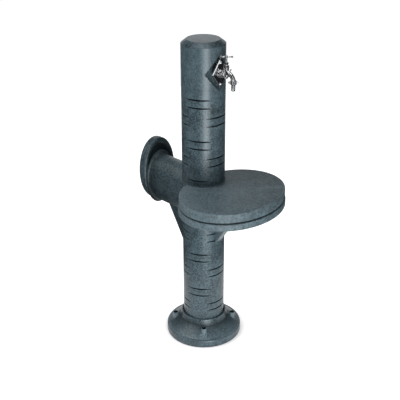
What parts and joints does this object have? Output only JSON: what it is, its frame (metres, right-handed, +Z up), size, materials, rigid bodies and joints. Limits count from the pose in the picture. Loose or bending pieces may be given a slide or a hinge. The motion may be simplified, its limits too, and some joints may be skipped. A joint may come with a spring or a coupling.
{
  "type": "garden water post",
  "caption": "Floor-standing post with a bib tap in a diamond recess, an oval bucket shelf below it, a hose holder at the back and a round bolt-down base.",
  "frame": {"origin": "on the ground, at the middle of the footprint of everything seen from above; the column's axis stands 15.35 mm from it towards +Y", "axes": "+Z up along the column, -Y towards the tap and the shelf, +Y towards the hose holder"},
  "size_m": [0.362, 0.5092, 1.009],
  "materials": {
    "moulded_plastic": "fine-grained matt blue-grey",
    "chrome": "polished",
    "brass": "machined",
    "steel": "plain stainless",
    "rubber": "moulded black",
    "pipe": "extruded pale grey"
  },
  "bodies": {
    "post": {"arm_bracket": "moulded_plastic", "arm_bracket_screw_1": "steel", "arm_bracket_screw_2": "steel", "base_flange": "moulded_plastic", "column": "moulded_plastic", "column_foot_screw_1": "steel", "column_foot_screw_2": "steel", "column_foot_screw_3": "steel", "column_foot_screw_4": "steel", "elbow_screw_1": "steel", "elbow_screw_2": "steel", "hose_arm": "moulded_plastic", "hose_arm_screw_1": "steel", "hose_arm_screw_2": "steel", "hose_disc": "moulded_plastic", "hose_disc_screw_1": "steel", "hose_disc_screw_2": "steel", "inlet_coupling": "brass", "riser_elbow": "brass", "riser_pipe": "pipe", "shelf_base": "moulded_plastic", "shelf_bracket": "moulded_plastic", "shelf_bracket_screw_1": "steel", "shelf_bracket_screw_2": "steel", "shelf_screw_1": "steel", "shelf_screw_2": "steel", "shelf_screw_3": "steel", "shelf_screw_4": "steel", "shelf_screw_5": "steel", "shelf_top": "moulded_plastic", "tap_body": "chrome", "tap_bonnet": "chrome", "tap_collar": "chrome", "tap_finial": "chrome", "tap_gland_nut": "chrome", "tap_packing": "rubber", "top_cap": "moulded_plastic", "wall_plate": "chrome", "wall_plate_screw_1": "chrome", "wall_plate_screw_2": "chrome"},
    "valve": {"valve_jumper": "brass", "valve_washer": "rubber"},
    "spindle": {"tap_spindle": "brass", "tap_handle": "chrome", "handle_screw": "chrome"},
    "hose_tail": {"outlet_tail": "chrome", "outlet_gasket": "rubber"},
    "union_nut": {"outlet_nut": "chrome"}
  },
  "joints": [
    {"name": "valve_lift", "type": "slide", "parent": "post", "child": "valve", "axis": [0, 0, 1], "range_m": [0, 0.004]},
    {"name": "handle_turn", "type": "hinge", "parent": "valve", "child": "spindle", "pos_m": [0, -0.07815, 0.95], "axis": [0, 0, 1], "range_deg": [0, 720]},
    {"name": "union_drop", "type": "slide", "parent": "post", "child": "hose_tail", "axis": [0, 0, -1], "range_m": [0, 0.0048]},
    {"name": "nut_turn", "type": "hinge", "parent": "hose_tail", "child": "union_nut", "pos_m": [0, -0.10615, 0.902], "axis": [0, 0, -1], "range_deg": [0, 1080]}
  ],
  "couplings": [
    {"joint": "handle_turn", "follows": "valve_lift", "rad_per_m": 3141.6},
    {"joint": "nut_turn", "follows": "union_drop", "rad_per_m": 3927}
  ]
}
